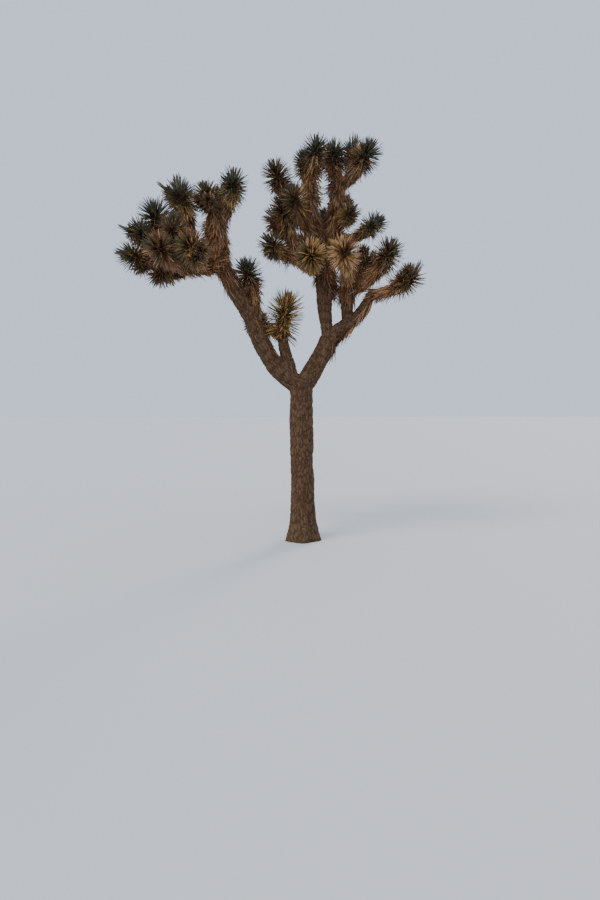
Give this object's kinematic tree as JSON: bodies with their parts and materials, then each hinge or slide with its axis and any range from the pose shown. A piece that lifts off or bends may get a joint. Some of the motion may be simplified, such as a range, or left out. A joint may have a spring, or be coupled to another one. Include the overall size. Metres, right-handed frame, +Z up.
{
  "type": "joshua tree",
  "caption": "Joshua tree: a bare trunk that forks low into spreading boughs, which end in spiky balls of dagger leaves above skirts of dead leaves.",
  "frame": {"origin": "middle of the flat cut under the trunk, at ground level", "axes": "+Z up the trunk, +X to the right and +Y to the back of the view from the front"},
  "size_m": [3.6317, 1.9414, 5.06],
  "materials": {
    "bark": "matt",
    "dead_leaves": "matt",
    "leaves": "satin"
  },
  "bodies": {
    "root": {"trunk": "bark", "left_bough": "bark", "left_knee": "bark", "left_leader": "dead_leaves", "left_arm": "dead_leaves", "middle_limb": "bark", "right_bough": "bark", "right_stem": "bark", "right_leader": "dead_leaves", "right_inner": "dead_leaves", "right_arm": "dead_leaves", "outer_bough": "bark", "outer_stem": "bark", "outer_limb": "bark", "left_rosette_1": "leaves", "left_rosette_2": "leaves", "left_rosette_3": "leaves", "left_rosette_4": "leaves", "left_rosette_5": "leaves", "left_rosette_6": "leaves", "left_rosette_7": "leaves", "left_rosette_8": "leaves", "left_rosette_9": "leaves", "left_rosette_10": "leaves", "left_rosette_11": "leaves", "left_rosette_12": "leaves", "left_rosette_13": "leaves", "left_rosette_14": "leaves", "left_rosette_15": "leaves", "middle_rosette_1": "leaves", "middle_rosette_2": "leaves", "right_rosette_1": "leaves", "right_rosette_2": "leaves", "right_rosette_3": "leaves", "right_rosette_4": "leaves", "right_rosette_5": "leaves", "right_rosette_6": "leaves", "right_rosette_7": "leaves", "right_rosette_8": "leaves", "right_rosette_9": "leaves", "right_rosette_10": "leaves", "right_rosette_11": "leaves", "right_rosette_12": "leaves", "right_rosette_13": "leaves", "right_rosette_14": "leaves", "right_rosette_15": "leaves", "right_rosette_16": "leaves", "right_rosette_17": "leaves", "right_rosette_18": "leaves", "right_rosette_19": "leaves", "right_rosette_20": "leaves", "right_rosette_21": "leaves", "right_rosette_22": "leaves"}
  },
  "joints": []
}
